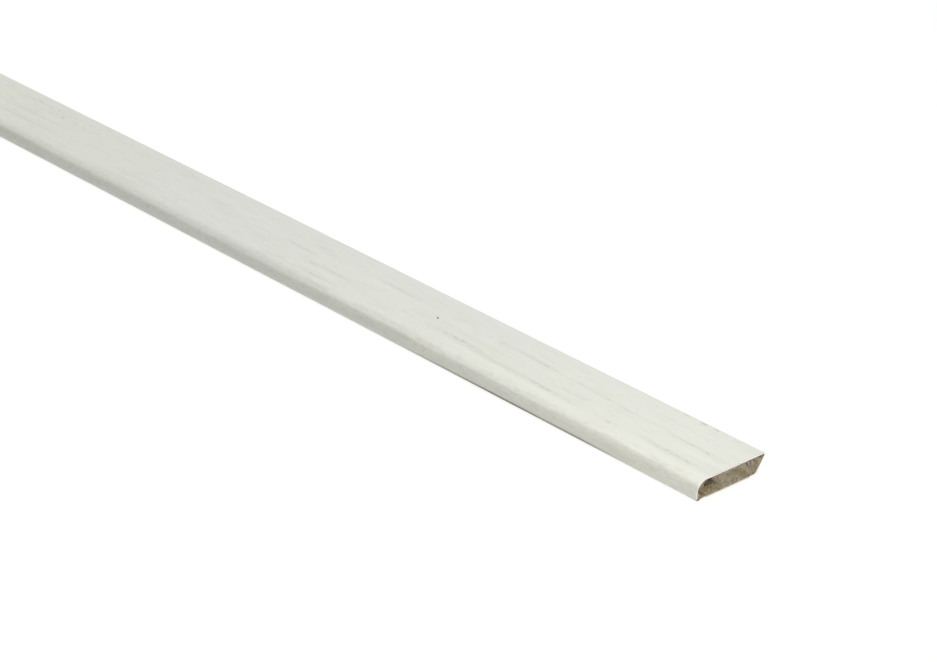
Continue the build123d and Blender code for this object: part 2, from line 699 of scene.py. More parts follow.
@dataclass(frozen=True)
class AcrylicTape:
    """Double-sided tape: acrylic adhesive on a tissue, which looks milky and a little glossy.

    Attributes:
        milky: Colour of the adhesive.
        thread: Colour of the tissue's fibres in it.
        mesh: Length and width of the tissue's strands, in metres. Its single fibres are too fine to
            show, so strands about ten times as thick are drawn.
    """

    milky: str = "#e3e2d8"
    thread: str = "#d2d0c2"
    mesh: tuple[float, float] = (3 * MM, 0.3 * MM)

    def material(self) -> bpy.types.Material:
        """Builds the material, with the fibres lying along the tape.

        Returns:
            The finished material.
        """
        material, tree = new_material("acrylic_tape")
        place = add_node(tree, "TexCoord").outputs["Object"]
        fibre_map = add_node(
            tree, "Mapping", {"Vector": place, "Scale": (*self.mesh, self.mesh[1])}, vector_type="TEXTURE"
        )
        fibres = add_node(tree, "TexNoise", {"Vector": fibre_map, "Scale": 1.0, "Detail": 2.0})
        colour = add_node(
            tree,
            "Mix",
            {"Factor": fibres, "A": linear(self.milky), "B": linear(self.thread)},
            data_type="RGBA",
        )
        bump = add_node(tree, "Bump", {"Height": fibres, "Distance": 0.02 * MM, "Strength": 0.5})
        shader = add_node(
            tree, "BsdfPrincipled", {"Base Color": colour, "Roughness": 0.3, "IOR": 1.47, "Normal": bump}
        )
        add_node(tree, "OutputMaterial", {"Surface": shader})
        return material


@dataclass(frozen=True)
class GlazedPaper:
    """Siliconised release paper: calendered smooth, so it is glossy, with cloudy fibres in it.

    Attributes:
        sheet: Colour of the paper.
        cloud: Colour where its fibres lie thicker.
        formation: Size of the clouds, in metres.
    """

    sheet: str = "#eeebe0"
    cloud: str = "#e2ddcc"
    formation: float = 1.6 * MM

    def material(self) -> bpy.types.Material:
        """Builds the material from the clouds of its fibres.

        Returns:
            The finished material.
        """
        material, tree = new_material("glazed_release_paper")
        place = add_node(tree, "TexCoord").outputs["Object"]
        cloud_map = add_node(
            tree, "Mapping", {"Vector": place, "Scale": (self.formation,) * 3}, vector_type="TEXTURE"
        )
        clouds = add_node(
            tree, "TexNoise", {"Vector": cloud_map, "Scale": 1.0, "Detail": 4.0, "Roughness": 0.6}
        )
        colour = add_node(
            tree,
            "Mix",
            {"Factor": clouds, "A": linear(self.sheet), "B": linear(self.cloud)},
            data_type="RGBA",
        )
        bump = add_node(tree, "Bump", {"Height": clouds, "Distance": 0.01 * MM, "Strength": 0.4})
        shader = add_node(
            tree, "BsdfPrincipled", {"Base Color": colour, "Roughness": 0.32, "IOR": 1.5, "Normal": bump}
        )
        add_node(tree, "OutputMaterial", {"Surface": shader})
        return material


def make_piece(
    name: str,
    body: CarriedSection,
    points: Array,
    finish: bpy.types.Material,
    paints: dict[Paint, Array] | None = None,
    print_map: Array | None = None,
) -> bpy.types.Object:
    """Puts a carried section into a mesh, with its finish, paints and print map, and hangs it from the
    root.

    Args:
        name: The piece's name, which is the CAD node's name with a word before it.
        body: The carried section that gives the faces.
        points: The vertices' places, with all relief in them.
        finish: The piece's material.
        paints: Values for the material, one for each vertex.
        print_map: The print's map as (n, 2), in metres.

    Returns:
        The new object.
    """
    sharp_angle = math.radians(40)
    quads = body.quads()
    mesh = bpy.data.meshes.new(name)
    mesh.vertices.add(len(points))
    mesh.vertices.foreach_set("co", points.astype(np.float32).ravel())
    mesh.loops.add(quads.size)
    mesh.loops.foreach_set("vertex_index", quads.astype(np.int32).ravel())
    mesh.polygons.add(len(quads))
    mesh.polygons.foreach_set("loop_start", np.arange(0, quads.size, 4, dtype=np.int32))
    mesh.update(calc_edges=True)
    mesh.validate()
    for paint, values in (paints or {}).items():
        layer = mesh.attributes.new(paint.value, "FLOAT", "POINT")
        layer.data.foreach_set("value", np.clip(values, 0, 1).astype(np.float32))
    if print_map is not None:
        corner_map = print_map[quads.ravel()]
        mesh.uv_layers.new(name="print").data.foreach_set("uv", corner_map.astype(np.float32).ravel())
    mesh.polygons.foreach_set("use_smooth", np.ones(len(quads), bool))
    mesh.set_sharp_from_angle(angle=sharp_angle)
    mesh.materials.append(finish)
    piece = bpy.data.objects.new(name, mesh)
    bpy.context.scene.collection.objects.link(piece)
    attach(piece, "root")
    LOG.info("%s: %d vertices, %d faces", name, len(points), len(quads))
    return piece


@dataclass(frozen=True)
class Scar:
    """One mark on a sawn end: a smooth dip with an oval outline and painted shade in it, a tinted patch,
    or both.

    Attributes:
        across: Distance of its middle from the front of the strip, in metres.
        above: Distance of its middle above the back of the wood.
        half_length: Half its length.
        half_width: Half its width.
        tilt: Angle of its length above the Y direction, in degrees.
        deep: Depth in the middle.
        dark: How dark the painted shade in the dip is, from 0 to 1.
        tint: Which paint colours the wood there.
        strength: How strongly it does, from 0 to 1.
    """

    across: float
    above: float
    half_length: float
    half_width: float
    tilt: float
    deep: float
    dark: float
    tint: Paint
    strength: float

    def share(self, across: Array, above: Array) -> Array:
        """Gives how far inside the mark each point lies, from 0 outside to 1 in the middle.

        The point's offset is turned into the mark's own directions and divided by its half sizes. With
        q as the sum of their squares, the share is exp(-q^2), which is flat inside and steep at q = 1.

        Args:
            across: Distance of each point from the front of the strip.
            above: Its distance above the back of the wood.

        Returns:
            The shares.
        """
        angle = math.radians(self.tilt)
        dy, dz = across - self.across, above - self.above
        lengthwise = (dy * math.cos(angle) + dz * math.sin(angle)) / self.half_length
        crosswise = (dz * math.cos(angle) - dy * math.sin(angle)) / self.half_width
        return np.exp(-((lengthwise**2 + crosswise**2) ** 2))


def scar(
    across: float,
    above: float,
    half_length: float,
    half_width: float,
    tilt: float = 0.0,
    deep: float = 0.0,
    dark: float = 0.0,
    tint: Paint = Paint.STAIN,
    strength: float = 0.0,
) -> Scar:
    """Makes a mark whose sizes are given in millimetres, in the order of Scar's own fields."""
    sizes = (across * MM, above * MM, half_length * MM, half_width * MM)
    return Scar(*sizes, tilt, deep * MM, dark, tint, strength)


# The marks that the photograph shows on the near end, and a plainer set for the hidden far end
SCARS = {
    CutEnd.NEAR: (
        # Knot, with painted shade in its hollows
        scar(4.4, 3.7, 1.55, 1.05, -14, deep=0.12, dark=0.82),
        scar(3.2, 3.3, 0.45, 0.42, 0, deep=0.15, dark=0.97),
        scar(4.7, 4.1, 0.95, 0.5, -5, deep=0.15, dark=0.97),
        scar(4.0, 3.0, 0.5, 0.32, -20, deep=0.1, dark=0.85),
        scar(5.5, 3.4, 0.6, 0.42, -30, deep=0.1, dark=0.8),
        scar(6.3, 2.65, 0.5, 0.28, -35, deep=0.1, dark=0.8),
        scar(5.2, 2.0, 0.42, 0.24, -35, deep=0.08, dark=0.55),
        scar(2.15, 2.5, 0.62, 0.34, 75, tint=Paint.OLIVE, strength=0.75),
        # Brown wood round the knot
        scar(3.8, 2.2, 3.2, 1.3, -10, strength=0.6),
        scar(1.2, 2.6, 0.8, 0.9, 0, strength=0.55),
        scar(6.0, 2.9, 1.4, 0.9, -20, strength=0.5),
        scar(1.35, 1.75, 1.05, 0.42, -42, deep=0.06, dark=0.5, strength=0.9),
        scar(2.5, 0.9, 0.9, 0.45, -35, dark=0.15, strength=0.65),
        scar(7.6, 2.7, 1.2, 0.9, 0, strength=0.3),
        # Torn fibres beside it, with painted shade in them
        scar(6.2, 4.1, 0.8, 0.13, -52, deep=0.1, dark=0.35),
        scar(7.0, 4.0, 0.8, 0.13, -52, deep=0.1, dark=0.35),
        scar(7.8, 3.9, 0.6, 0.1, -52, deep=0.08, dark=0.25),
        # Greener wood
        scar(14.3, 2.9, 1.8, 1.1, -15, tint=Paint.OLIVE, strength=0.6),
        scar(12.4, 2.9, 1.0, 0.9, -30, tint=Paint.OLIVE, strength=0.5),
        scar(16.4, 1.5, 2.6, 0.9, -20, tint=Paint.OLIVE, strength=0.75),
        scar(19.8, 2.4, 1.9, 0.9, 30, tint=Paint.OLIVE, strength=0.65),
        scar(20.6, 1.2, 1.2, 0.6, 50, tint=Paint.OLIVE, strength=0.6),
        scar(7.8, 1.3, 2.0, 0.9, 0, tint=Paint.OLIVE, strength=0.45),
        # Lines and small holes, with painted shade in them
        scar(11.4, 3.8, 0.75, 0.16, 88, deep=0.08, dark=0.5),
        scar(12.6, 3.6, 0.9, 0.18, -62, deep=0.08, dark=0.5),
        scar(13.3, 3.5, 0.7, 0.16, -58, deep=0.08, dark=0.4),
        scar(15.6, 3.1, 0.95, 0.15, 90, deep=0.08, dark=0.45),
        scar(17.7, 3.6, 1.1, 0.22, -50, deep=0.1, dark=0.62),
        scar(18.7, 3.1, 0.7, 0.2, 62, deep=0.1, dark=0.6),
        scar(18.75, 4.3, 0.36, 0.32, 0, deep=0.12, dark=1.0),
        scar(18.8, 3.65, 0.36, 0.22, 60, deep=0.1, dark=0.8),
        scar(20.1, 4.1, 0.6, 0.22, -75, deep=0.1, dark=0.78),
        scar(21.1, 3.0, 0.9, 0.18, -50, deep=0.08, dark=0.45),
        scar(22.3, 4.2, 0.36, 0.28, 0, deep=0.12, dark=0.9),
        # The first two pale marks are painted highlights beside the holes and torn lines; the rest are
        # glue and pale fibres
        scar(18.25, 4.3, 0.5, 0.12, 85, tint=Paint.GLUE, strength=0.8),
        scar(17.9, 2.3, 0.5, 0.14, 60, tint=Paint.GLUE, strength=0.5),
        scar(10.2, 2.4, 1.0, 0.3, -60, tint=Paint.GLUE, strength=0.4),
        scar(19.2, 2.8, 2.6, 1.6, 0, tint=Paint.GLUE, strength=0.28),
        scar(15.0, 1.2, 3.0, 0.8, 0, tint=Paint.GLUE, strength=0.15),
        scar(10.6, 0.4, 0.5, 0.18, 0, deep=0.1, dark=0.4),
        scar(13.9, 0.2, 0.5, 0.18, 0, deep=0.1, dark=0.5),
        scar(18.3, 0.25, 0.5, 0.18, 0, deep=0.1, dark=0.45),
        # Grey wood at the thin edge
        scar(23.3, 4.4, 0.9, 0.6, 40, tint=Paint.ASH, strength=0.7),
        scar(21.4, 4.5, 1.3, 0.3, 0, tint=Paint.ASH, strength=0.3),
        # Glue at the toe
        scar(0.4, 1.1, 0.9, 0.4, -75, tint=Paint.GLUE, strength=0.85),
        scar(0.8, 0.3, 0.6, 0.34, -25, tint=Paint.GLUE, strength=0.7),
    ),
    CutEnd.FAR: (
        scar(8.4, 2.2, 1.0, 0.14, 70, deep=0.15, dark=0.4),
        scar(14.2, 3.1, 0.9, 0.13, -60, deep=0.15, dark=0.4),
        scar(19.6, 3.9, 0.5, 0.2, 0, deep=0.3, dark=0.6),
        scar(3.2, 1.2, 0.7, 0.4, 20, strength=0.6),
        scar(12.0, 2.6, 2.6, 1.2, 10, tint=Paint.OLIVE, strength=0.4),
        scar(11.0, 0.2, 0.5, 0.12, 0, deep=0.2, dark=0.5),
    ),
}


@dataclass(frozen=True)
class StripSection:
    """The strip's section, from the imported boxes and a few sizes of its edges.

    Attributes:
        shoulder_radius: Radius of the rounded front edge of the wood.
        toe_radius: Radius of the front edge of the wood's back.
        foil_toe_radius: Radius of the foil there, which is less, because glue fills the corner.
        nose_land: Height of the blunt floor edge of the wood.
        nose_radius: Radius of the two edges of that land.
        heel_radius: Radius between the undercut and the back.
        undercut_angle: Angle of the undercut from upright, in degrees.
        foil_return: How far the foil is folded under the back.
    """

    shoulder_radius: float = 3.2 * MM
    toe_radius: float = 1.0 * MM
    foil_toe_radius: float = 0.5 * MM
    nose_land: float = 0.5 * MM
    nose_radius: float = 0.15 * MM
    heel_radius: float = 1.0 * MM
    undercut_angle: float = 36.0
    foil_return: float = 2.2 * MM

    def corners(self) -> dict[str, tuple[float, float]]:
        """Works out the corners of the wood's section, before they are rounded.

        The heel lies further in than the foot by the undercut's height times the tangent of its angle.

        Returns:
            The corners by name, as (y, z).
        """
        low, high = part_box("core")
        foot = high.z - self.nose_land
        heel = high.y - (foot - low.z) * math.tan(math.radians(self.undercut_angle))
        return {
            "toe": (low.y, low.z),
            "shoulder": (low.y, high.z),
            "nose": (high.y, high.z),
            "foot": (high.y, foot),
            "heel": (heel, low.z),
        }


def scattered_scars(seed: int, count: int) -> list[Scar]:
    """Scatters fine torn fibres over a sawn end: two with painted shade in them for each one with a
    painted highlight.

    Args:
        seed: What the sizes and places are drawn from.
        count: How many there are.

    Returns:
        The marks, the same ones each time.
    """
    # Places and sizes are in millimetres, as scar takes them, and tilts in degrees
    chance = np.random.default_rng(seed)
    across, above = chance.uniform(0.8, 23.0, count), chance.uniform(0.2, 4.6, count)
    half_length, half_width = chance.uniform(0.2, 0.6, count), chance.uniform(0.11, 0.2, count)
    tilt, strength = chance.uniform(-95, -35, count), chance.uniform(0.15, 0.5, count)
    is_dark = chance.uniform(0, 1, count) < 2 / 3
    return [
        scar(*sizes, deep=0.06, dark=s) if dark else scar(*sizes, tint=Paint.GLUE, strength=s)
        for *sizes, s, dark in zip(across, above, half_length, half_width, tilt, strength, is_dark)
    ]


@dataclass(frozen=True)
class WoodenCore:
    """The planed softwood core, with the grain and the marks of the saw on both ends.

    Attributes:
        shape: The strip's section.
        columns: Columns of the end grid, across the strip.
        rows: Rows of the end grid, from the back to the face.
        crowding: How far the columns crowd towards the two edges, from 0 to 1.
        step: Distance between two stations along the strip.
        recess: How far the saw left the wood behind the foil.
        fuzz: Height of the torn fibres on the ends.
        tuft: Width and height of a tuft of them, across the end and up it.
        lump: Width and height of the softer lumps under them.
        kerf: Distance between two scratches of the saw. Those of its single teeth are too fine to show,
            so these stand for the deepest ones.
        kerf_depth: Depth of such a scratch.
        kerf_slope: How much a scratch falls for each metre across the end.
        kerf_bend: How far the lumps bend it, in radians of the scratches' wave.
        wobble: How far the outline of a mark wanders.
        torn_fibres: How many fine torn fibres each end has besides its own marks.
    """

    shape: StripSection
    columns: int = 240
    rows: int = 34
    crowding: float = 0.8
    step: float = 48 * MM
    recess: float = 0.06 * MM
    fuzz: float = 0.05 * MM
    tuft: tuple[float, float] = (0.28 * MM, 0.22 * MM)
    lump: tuple[float, float] = (1.4 * MM, 1.0 * MM)
    kerf: float = 0.9 * MM
    kerf_depth: float = 0.02 * MM
    kerf_slope: float = 0.35
    kerf_bend: float = 2.5
    wobble: float = 0.15 * MM
    torn_fibres: int = 80

    def section(self) -> Array:
        """Fills the section with a grid.

        The columns stand at the y values -half * cos(pi t), blended with even ones by the crowding. Each
        runs from the lower outline to the upper one, in equal steps.

        Returns:
            The grid as (row, column, y or z).
        """
        shape = self.shape
        toe, shoulder, nose, foot, heel = shape.corners().values()
        front, tip = (toe[0], (toe[1] + shoulder[1]) / 2), (nose[0], (nose[1] + foot[1]) / 2)
        lower = rounded(
            [front, toe, heel, foot, tip], [shape.toe_radius, shape.heel_radius, shape.nose_radius]
        )
        upper = rounded([front, shoulder, nose, tip], [shape.shoulder_radius, shape.nose_radius])
        t = np.linspace(0, 1, self.columns + 1)
        eased = (1 - np.cos(np.pi * t)) / 2
        y = front[0] + (tip[0] - front[0]) * (self.crowding * eased + (1 - self.crowding) * t)
        low, high = (self.outline_height(side, y) for side in (lower, upper))
        z = low + (high - low) * np.linspace(0, 1, self.rows + 1)[:, None]
        return np.stack([np.broadcast_to(y, z.shape), z], axis=-1)

    def outline_height(self, outline: Array, y: Array) -> Array:
        """Reads an outline's height at each y, with the upright ends of the outline left out.

        Args:
            outline: The outline's points as (y, z), from the front to the floor edge.
            y: Where to read it.

        Returns:
            The heights.
        """
        inner = (outline[:, 0] > outline[0, 0]) & (outline[:, 0] < outline[-1, 0])
        first, last = np.flatnonzero(inner)[[0, -1]]
        kept = outline[first - 1 : last + 2]
        return np.interp(y, kept[:, 0], kept[:, 1])

    def press_end(
        self, body: CarriedSection, points: Array, end: CutEnd, paints: dict[Paint, Array]
    ) -> None:
        """Presses the marks, the saw's scratches and the torn fibres into one end.

        Each vertex of the end goes in along X by the sum of the marks' shares times their depths, by two
        lattice noises, and by a sine across the scratches. Each paint takes the largest share that a mark
        has there.

        Args:
            body: The carried core.
            points: Its vertices, changed in place.
            end: Which end.
            paints: The core's paints, changed in place.
        """
        at_end = body.at_end(end)
        low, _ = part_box("core")
        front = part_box("decor_foil")[0].y
        across, above = points[at_end, 1] - front, points[at_end, 2] - low.z
        tufts = LatticeNoise(11 + end.value, *self.tuft).at(across, above)
        lumps = LatticeNoise(21 + end.value, *self.lump).at(across, above)
        wave = 2 * np.pi * (across * self.kerf_slope + above) / self.kerf + self.kerf_bend * lumps
        sunk = self.recess + self.fuzz * (0.5 + 0.5 * tufts + lumps) + self.kerf_depth * np.sin(wave)
        across, above = across + self.wobble * lumps, above + self.wobble * tufts
        for mark in [*SCARS[end], *scattered_scars(80 + end.value, self.torn_fibres)]:
            share = mark.share(across, above)
            sunk = sunk + mark.deep * share
            # A mark's darkness is painted shade in its dip, and the pale tint of some torn fibres is a
            # painted highlight
            for paint, strength in ((Paint.HOLLOW, mark.dark), (mark.tint, mark.strength)):
                paints[paint][at_end] = np.maximum(paints[paint][at_end], strength * share)
        points[at_end, 0] -= end.value * np.maximum(sunk, 0)
        paints[Paint.SAWN][at_end] = 1.0

    def build(self, finish: SawnSoftwood) -> bpy.types.Object:
        """Makes the core and lets it stand for its CAD node.

        Args:
            finish: The wood that it is made of.

        Returns:
            The core.
        """
        low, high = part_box("core")
        body = CarriedSection(self.section(), spaced_stations(low.x, high.x, self.step))
        points = body.points()
        paints = {paint: np.zeros(len(points)) for paint in CORE_PAINTS}
        for end in CutEnd:
            self.press_end(body, points, end, paints)
        piece = make_piece("planed_core", body, points, finish.material(), paints)
        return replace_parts(piece, "core")


@dataclass(frozen=True)
class GrainMark:
    """One soft mark of the print, which lies along the grain.

    Attributes:
        back: Distance of its middle from the near end, in metres.
        around: Its distance from the foot of the front, measured over the foil's surface.
        half_length: Half its length.
        half_width: Half its width.
        strength: Its strength in the middle, from 0 to 1.
    """

    back: float
    around: float
    half_length: float
    half_width: float
    strength: float

    def share(self, back: Array, around: Array) -> Array:
        """Gives the mark's strength at each point: strength * exp(-q^2), at q half sizes from its middle.

        Args:
            back: Distance of each point from the near end.
            around: Its distance from the foot of the front, over the surface.

        Returns:
            The strengths.
        """
        lengthwise = (back - self.back) / self.half_length
        crosswise = (around - self.around) / self.half_width
        return self.strength * np.exp(-(lengthwise**2) - crosswise**2)


def grain_marks(*rows: tuple[float, ...]) -> list[GrainMark]:
    """Makes marks from rows of their four sizes in millimetres, with the strength behind them."""
    return [GrainMark(*(size * MM for size in sizes), strength) for *sizes, strength in rows]


# The marks at the near end that the photograph shows: the print's own, with painted highlights and
# painted shade among them. In each row stand the fields of GrainMark in their order
SEEN_MARKS = {
    Paint.PORES: grain_marks(
        (92, 19.2, 7, 0.5, 1.0), (71, 18.9, 5, 0.45, 0.9), (53, 18.1, 7, 0.55, 1.0),
        (38, 17.6, 2.5, 0.5, 1.0), (13, 16.6, 13, 0.5, 0.9), (100, 11.8, 12, 0.55, 1.0),
        (63, 10.0, 5, 0.55, 1.0), (56, 9.6, 4, 0.5, 0.8), (37, 9.6, 3, 0.5, 1.0),
        (15, 9.7, 8, 0.55, 1.0), (122, 11.9, 3, 0.4, 0.7), (86, 15.2, 2.5, 0.5, 0.7),
        (57, 13.4, 7, 0.55, 0.8), (27, 22.3, 4, 0.45, 0.8), (14, 21.5, 4, 0.45, 0.7),
        (22, 26.9, 17, 0.45, 1.0), (168, 21.5, 3, 0.6, 0.9), (174, 16.9, 6, 0.4, 0.7),
        (132, 19.8, 10, 0.45, 0.5), (156, 7.9, 6, 0.45, 0.6), (163, 12.6, 2, 0.4, 0.7),
        (213, 17.8, 3, 0.6, 0.5),
    ),
    # Darker grain, and painted shade: the short marks along the shoulder's edge, those beside and under
    # crumbs, and the long ones on the shoulder further back
    Paint.SHADE: grain_marks(
        (78, 19.2, 8, 0.6, 0.7), (81, 10.3, 14, 0.8, 0.7), (97, 11.9, 10, 0.6, 0.6),
        (60, 9.9, 10, 0.6, 0.55), (50, 18.2, 8, 0.5, 0.5), (14, 9.8, 12, 0.7, 0.7),
        (10, 16.6, 12, 0.6, 0.6), (92, 14.6, 22, 1.5, 0.25), (2, 11.8, 7, 1.2, 0.3),
        (3, 19.8, 6, 1.2, 0.2), (0, 25.5, 9, 2.0, 0.35), (120, 5.6, 9, 0.6, 0.3),
        (112, 22.0, 25, 2.5, 0.12), (153, 12.9, 8, 0.6, 0.75), (155, 7.9, 6, 0.5, 0.7),
        (38, 17.5, 2, 0.45, 1.0), (28, 13.1, 2, 0.4, 0.5), (51, 13.5, 2, 0.4, 0.6),
        (163, 12.3, 2, 0.5, 0.8), (168, 21.3, 3, 0.8, 0.5), (170, 17.0, 2, 0.45, 0.6),
        (177, 17.0, 2.5, 0.6, 0.5), (177, 7.6, 4, 0.4, 0.5), (170, 8.2, 2, 0.5, 0.5),
        (187, 12.6, 4, 1.2, 0.3), (209, 15.0, 6, 1.6, 0.25), (214, 17.9, 4, 1.2, 0.4),
        (218, 6.8, 8, 1.1, 0.25), (237, 23.5, 5, 1.1, 0.35), (132, 19.8, 11, 0.5, 0.6),
        (175, 5.9, 26, 1.0, 0.15), (28, 1.5, 6, 0.5, 0.35), (17, 3.0, 4, 0.5, 0.25),
        (62, 1.4, 9, 0.35, 0.2), (88, 3.5, 5, 0.4, 0.2), (118, 3.2, 6, 0.5, 0.2),
        (127, 2.2, 12, 0.8, 0.25), (150, 1.6, 9, 0.5, 0.25), (31, 4.9, 3, 0.35, 0.4),
        (45, 5.1, 3.5, 0.3, 0.3), (102, 4.6, 3, 0.4, 0.3), (113, 3.3, 3.5, 0.4, 0.9),
        (150, 4.9, 4, 0.25, 0.8), (189, 4.2, 5, 0.4, 0.6), (16, 5.3, 3, 0.3, 0.3),
    ),
    # Lighter grain, and painted highlights: the short marks on crumbs, along the shoulder's edge and
    # beside pores
    Paint.CREAM: grain_marks(
        (86, 8.6, 14, 0.9, 0.8), (58, 7.6, 16, 1.0, 0.6), (20, 7.8, 20, 1.0, 0.5),
        (8, 13.6, 12, 1.0, 0.5), (93, 5.0, 3.5, 0.4, 1.0), (155, 10.3, 8, 0.9, 0.6),
        (146, 5.3, 2, 0.35, 1.0), (152, 5.9, 2.4, 0.4, 1.0), (159, 5.7, 2, 0.4, 0.9),
        (138, 5.6, 4, 0.4, 0.8), (145, 17.5, 20, 1.5, 0.3), (132, 18.2, 10, 0.5, 0.4),
        (93, 20.0, 2.5, 0.35, 0.8), (38, 18.4, 2, 0.35, 0.8), (79, 13.9, 2.5, 0.45, 0.8),
        (43, 12.3, 2, 0.5, 0.7), (127, 6.9, 2, 0.5, 0.8), (168, 8.5, 2, 0.5, 1.0),
        (182, 7.3, 2, 0.45, 1.0), (150, 22.0, 4, 1.2, 0.4), (196, 19.5, 8, 2.0, 0.35),
        (214, 14.3, 4, 1.0, 0.5), (220, 9.8, 4, 0.9, 0.5), (230, 15.5, 7, 2.0, 0.3),
        (24, 5.3, 6, 0.35, 0.9), (36, 5.5, 4, 0.3, 0.8), (50, 3.4, 5, 0.4, 0.6), (72, 3.3, 7, 0.4, 0.6),
        (97, 2.8, 5, 0.4, 0.6), (8, 2.0, 6, 0.9, 0.8), (63, 2.2, 6, 0.5, 0.6), (108, 2.4, 7, 0.6, 0.6),
    ),
    Paint.COOL: grain_marks(
        (200, 14, 75, 14, 0.45), (130, 28, 130, 4.5, 0.6), (95, 22, 14, 4, 0.3),
    ),
    # A dark line along the toe, which is painted shadow under it, with dirt; the last row is dirty glue
    # on the near end's toe
    Paint.SOIL: grain_marks(
        (70, 0.5, 18, 0.3, 1.0), (42, 0.5, 13, 0.28, 0.8), (96, 0.45, 14, 0.3, 0.5),
        (0, -0.3, 2.2, 0.5, 0.9),
    ),
}

# The rest of the print has so many marks of each kind, with half lengths and half widths between these
SCATTERED_MARKS = {
    Paint.PORES: (330, (3 * MM, 16 * MM), (0.35 * MM, 0.6 * MM)),
    Paint.SHADE: (260, (4 * MM, 16 * MM), (0.4 * MM, 1.1 * MM)),
    Paint.CREAM: (120, (8 * MM, 28 * MM), (0.6 * MM, 1.4 * MM)),
}

# The shoulder's edge in the photograph: distances from the near end, and the edge's distances there from
# the foot of the front, over the surface
EDGE_PLACES = np.array([0, 20, 40, 60, 80, 100, 120, 150, 180, 240]) * MM
EDGE_HEIGHTS = np.array([4.3, 4.75, 4.45, 4.1, 4.3, 3.8, 4.25, 3.9, 3.5, 3.9]) * MM


def band(place: Array, middle: float, half_width: float) -> Array:
    """Gives how far inside a band each place lies: exp(-q^4) at q half widths from its middle."""
    return np.exp(-(((place - middle) / half_width) ** 4))


